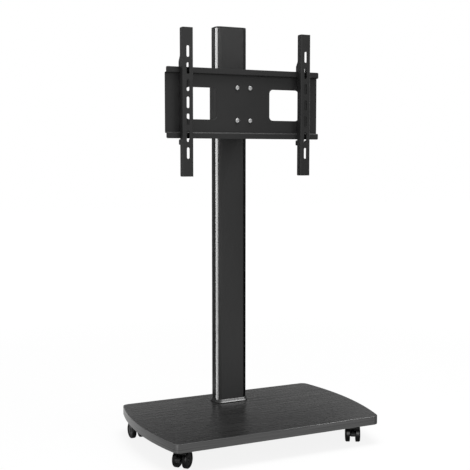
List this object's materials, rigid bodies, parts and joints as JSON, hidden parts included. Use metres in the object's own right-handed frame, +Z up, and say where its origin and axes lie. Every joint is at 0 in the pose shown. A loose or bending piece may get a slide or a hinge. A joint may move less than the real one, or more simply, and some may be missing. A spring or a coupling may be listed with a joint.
{
  "type": "mobile tv stand",
  "caption": "Rolling television stand: bowed board on twin-wheel castors, tall column, height-sliding clamp sleeve and tilting head with two screen arms.",
  "frame": {"origin": "on the floor, under the middle of the base board", "axes": "+Z up along the column, +Y to the rear, towards the column's side of the board, +X to the right seen from the screen side"},
  "size_m": [0.73, 0.463, 1.29],
  "materials": {
    "black_woodgrain": "satin black wood-grain laminate",
    "charcoal_edging": "charcoal edge banding, satin",
    "black_aluminium": "black anodised extrusion, semi-gloss",
    "black_steel": "fine-textured black powder coat",
    "black_plastic": "moulded black plastic, matt",
    "black_nylon_wheel": "moulded black nylon, slightly worn tread",
    "zinc_steel": "zinc-plated"
  },
  "bodies": {
    "base": {"base_board": "black_woodgrain", "edge_band": "charcoal_edging", "foot_plate": "black_steel", "foot_bolt_1": "zinc_steel", "foot_bolt_2": "zinc_steel", "foot_bolt_3": "zinc_steel", "foot_bolt_4": "zinc_steel", "column": "black_aluminium", "column_foot_trim": "black_plastic", "column_top_cap": "black_plastic", "cable_cover": "black_plastic", "castor_front_left_stem": "zinc_steel", "castor_front_right_stem": "zinc_steel", "castor_rear_left_stem": "zinc_steel", "castor_rear_right_stem": "zinc_steel"},
    "carriage": {"carriage_sleeve": "black_steel", "sleeve_liner": "black_plastic", "tilt_base_bracket": "black_steel", "tilt_base_screw_1": "zinc_steel", "tilt_base_screw_2": "zinc_steel", "tilt_base_screw_3": "zinc_steel", "tilt_base_screw_4": "zinc_steel", "tilt_pivot_bolt": "zinc_steel", "tilt_pivot_nut": "zinc_steel", "tilt_lock_nut": "zinc_steel"},
    "height_knob_upper": {"height_knob_upper": "black_plastic"},
    "height_knob_lower": {"height_knob_lower": "black_plastic"},
    "tilt_lock_knob": {"tilt_lock_knob": "black_plastic"},
    "head": {"tilt_yoke": "black_steel", "cross_plate": "black_steel", "head_bolt_1": "zinc_steel", "head_bolt_2": "zinc_steel", "head_bolt_3": "zinc_steel", "head_bolt_4": "zinc_steel"},
    "arm_left": {"arm_left": "black_steel"},
    "arm_right": {"arm_right": "black_steel"},
    "arm_lock_screw_left": {"arm_lock_screw_left": "black_plastic"},
    "arm_lock_screw_right": {"arm_lock_screw_right": "black_plastic"},
    "castor_front_left": {"castor_front_left_housing": "black_plastic", "castor_front_left_axle": "zinc_steel"},
    "castor_front_left_wheel_a": {"castor_front_left_wheel_a": "black_nylon_wheel"},
    "castor_front_left_wheel_b": {"castor_front_left_wheel_b": "black_nylon_wheel"},
    "castor_front_left_brake": {"castor_front_left_brake_lever": "black_plastic"},
    "castor_front_right": {"castor_front_right_housing": "black_plastic", "castor_front_right_axle": "zinc_steel"},
    "castor_front_right_wheel_a": {"castor_front_right_wheel_a": "black_nylon_wheel"},
    "castor_front_right_wheel_b": {"castor_front_right_wheel_b": "black_nylon_wheel"},
    "castor_front_right_brake": {"castor_front_right_brake_lever": "black_plastic"},
    "castor_rear_left": {"castor_rear_left_housing": "black_plastic", "castor_rear_left_axle": "zinc_steel"},
    "castor_rear_left_wheel_a": {"castor_rear_left_wheel_a": "black_nylon_wheel"},
    "castor_rear_left_wheel_b": {"castor_rear_left_wheel_b": "black_nylon_wheel"},
    "castor_rear_left_brake": {"castor_rear_left_brake_lever": "black_plastic"},
    "castor_rear_right": {"castor_rear_right_housing": "black_plastic", "castor_rear_right_axle": "zinc_steel"},
    "castor_rear_right_wheel_a": {"castor_rear_right_wheel_a": "black_nylon_wheel"},
    "castor_rear_right_wheel_b": {"castor_rear_right_wheel_b": "black_nylon_wheel"},
    "castor_rear_right_brake": {"castor_rear_right_brake_lever": "black_plastic"}
  },
  "joints": [
    {"name": "height_slide", "type": "slide", "parent": "base", "child": "carriage", "axis": [0, 0, 1], "range_m": [-0.13, 0.15]},
    {"name": "height_knob_upper_turn", "type": "hinge", "parent": "carriage", "child": "height_knob_upper", "pos_m": [0, 0.19, 1.083], "axis": [0, 1, 0], "range_deg": [0, 360]},
    {"name": "height_knob_lower_turn", "type": "hinge", "parent": "carriage", "child": "height_knob_lower", "pos_m": [0, 0.19, 1.003], "axis": [0, 1, 0], "range_deg": [0, 360]},
    {"name": "tilt_lock_knob_turn", "type": "hinge", "parent": "carriage", "child": "tilt_lock_knob", "pos_m": [0, 0.0725, 1.023], "axis": [1, 0, 0], "range_deg": [0, 360]},
    {"name": "head_tilt", "type": "hinge", "parent": "carriage", "child": "head", "pos_m": [0, 0.0725, 1.063], "axis": [1, 0, 0], "range_deg": [-5, 12]},
    {"name": "arm_left_slide", "type": "slide", "parent": "head", "child": "arm_left", "axis": [-1, 0, 0], "range_m": [-0.1, 0.04]},
    {"name": "arm_right_slide", "type": "slide", "parent": "head", "child": "arm_right", "axis": [1, 0, 0], "range_m": [-0.1, 0.04]},
    {"name": "arm_lock_screw_left_turn", "type": "hinge", "parent": "arm_left", "child": "arm_lock_screw_left", "pos_m": [-0.2, 0.02675, 0.92], "axis": [0, 0, 1], "range_deg": [0, 360]},
    {"name": "arm_lock_screw_right_turn", "type": "hinge", "parent": "arm_right", "child": "arm_lock_screw_right", "pos_m": [0.2, 0.02675, 0.92], "axis": [0, 0, 1], "range_deg": [0, 360]},
    {"name": "castor_front_left_swivel", "type": "hinge", "parent": "base", "child": "castor_front_left", "pos_m": [-0.283, -0.163, 0.05], "axis": [0, 0, 1], "continuous": true},
    {"name": "castor_front_left_wheel_a_spin", "type": "hinge", "parent": "castor_front_left", "child": "castor_front_left_wheel_a", "pos_m": [-0.2934, -0.17237, 0.025], "axis": [-0.6691, 0.7431, 0], "continuous": true},
    {"name": "castor_front_left_wheel_b_spin", "type": "hinge", "parent": "castor_front_left", "child": "castor_front_left_wheel_b", "pos_m": [-0.2934, -0.17237, 0.025], "axis": [-0.6691, 0.7431, 0], "continuous": true},
    {"name": "castor_front_left_brake_press", "type": "hinge", "parent": "castor_front_left", "child": "castor_front_left_brake", "pos_m": [-0.2934, -0.17237, 0.025], "axis": [0.6691, -0.7431, 0], "range_deg": [0, 20]},
    {"name": "castor_front_right_swivel", "type": "hinge", "parent": "base", "child": "castor_front_right", "pos_m": [0.283, -0.163, 0.05], "axis": [0, 0, 1], "continuous": true},
    {"name": "castor_front_right_wheel_a_spin", "type": "hinge", "parent": "castor_front_right", "child": "castor_front_right_wheel_a", "pos_m": [0.27621, -0.17525, 0.025], "axis": [-0.8746, 0.4848, 0], "continuous": true},
    {"name": "castor_front_right_wheel_b_spin", "type": "hinge", "parent": "castor_front_right", "child": "castor_front_right_wheel_b", "pos_m": [0.27621, -0.17525, 0.025], "axis": [-0.8746, 0.4848, 0], "continuous": true},
    {"name": "castor_front_right_brake_press", "type": "hinge", "parent": "castor_front_right", "child": "castor_front_right_brake", "pos_m": [0.27621, -0.17525, 0.025], "axis": [0.8746, -0.4848, 0], "range_deg": [0, 20]},
    {"name": "castor_rear_left_swivel", "type": "hinge", "parent": "base", "child": "castor_rear_left", "pos_m": [-0.316, 0.168, 0.05], "axis": [0, 0, 1], "continuous": true},
    {"name": "castor_rear_left_wheel_a_spin", "type": "hinge", "parent": "castor_rear_left", "child": "castor_rear_left_wheel_a", "pos_m": [-0.31551, 0.15401, 0.025], "axis": [-0.9994, -0.0349, 0], "continuous": true},
    {"name": "castor_rear_left_wheel_b_spin", "type": "hinge", "parent": "castor_rear_left", "child": "castor_rear_left_wheel_b", "pos_m": [-0.31551, 0.15401, 0.025], "axis": [-0.9994, -0.0349, 0], "continuous": true},
    {"name": "castor_rear_left_brake_press", "type": "hinge", "parent": "castor_rear_left", "child": "castor_rear_left_brake", "pos_m": [-0.31551, 0.15401, 0.025], "axis": [0.9994, 0.0349, 0], "range_deg": [0, 20]},
    {"name": "castor_rear_right_swivel", "type": "hinge", "parent": "base", "child": "castor_rear_right", "pos_m": [0.316, 0.168, 0.05], "axis": [0, 0, 1], "continuous": true},
    {"name": "castor_rear_right_wheel_a_spin", "type": "hinge", "parent": "castor_rear_right", "child": "castor_rear_right_wheel_a", "pos_m": [0.32102, 0.15493, 0.025], "axis": [-0.9336, -0.3584, 0], "continuous": true},
    {"name": "castor_rear_right_wheel_b_spin", "type": "hinge", "parent": "castor_rear_right", "child": "castor_rear_right_wheel_b", "pos_m": [0.32102, 0.15493, 0.025], "axis": [-0.9336, -0.3584, 0], "continuous": true},
    {"name": "castor_rear_right_brake_press", "type": "hinge", "parent": "castor_rear_right", "child": "castor_rear_right_brake", "pos_m": [0.32102, 0.15493, 0.025], "axis": [0.9336, 0.3584, 0], "range_deg": [0, 20]}
  ]
}
